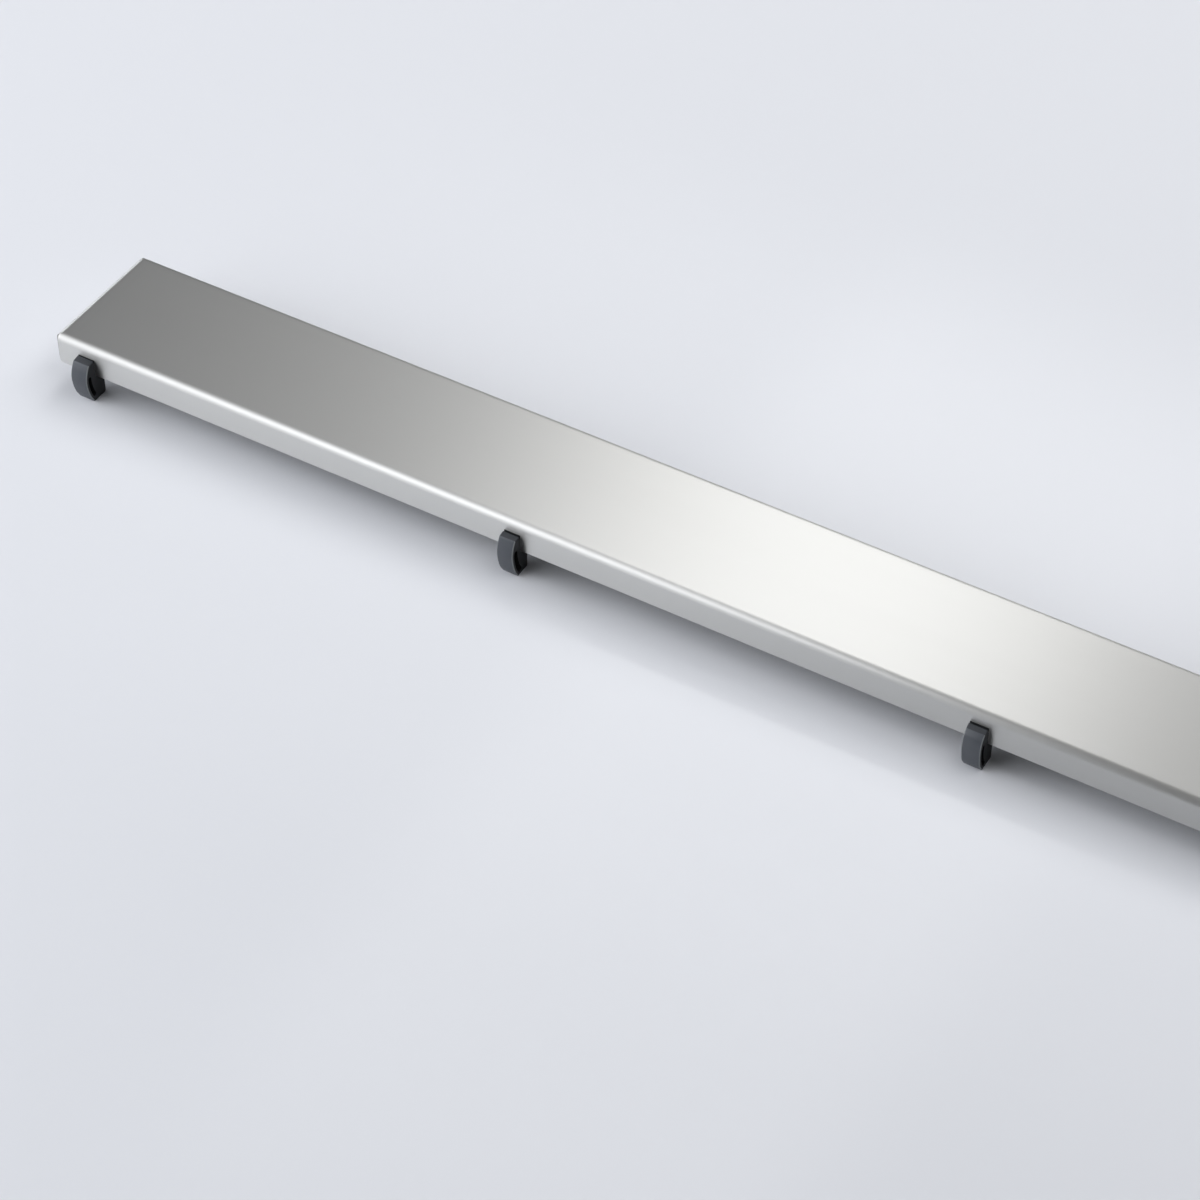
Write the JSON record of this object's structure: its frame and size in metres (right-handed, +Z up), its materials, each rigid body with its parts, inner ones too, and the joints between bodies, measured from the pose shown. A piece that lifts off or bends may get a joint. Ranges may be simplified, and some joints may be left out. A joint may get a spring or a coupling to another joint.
{
  "type": "linear shower drain cover",
  "caption": "Long folded brushed steel cover of a linear shower drain, open underneath, standing on soft clips pushed over its long flanges.",
  "frame": {"origin": "under the middle of the cover, on the surface that the clips stand on", "axes": "+X along the cover's length, +Y to the back, +Z up from the clips' feet to the tread face"},
  "size_m": [0.6, 0.069, 0.024],
  "materials": {
    "brushed_stainless": "fine lengthwise brushed stainless steel, satin",
    "grey_rubber": "smooth dark grey extruded soft rubber"
  },
  "bodies": {
    "root": {"cover_plate": "brushed_stainless", "front_clip_1": "grey_rubber", "front_clip_2": "grey_rubber", "front_clip_3": "grey_rubber", "front_clip_4": "grey_rubber", "back_clip_1": "grey_rubber", "back_clip_2": "grey_rubber", "back_clip_3": "grey_rubber", "back_clip_4": "grey_rubber"}
  },
  "joints": []
}
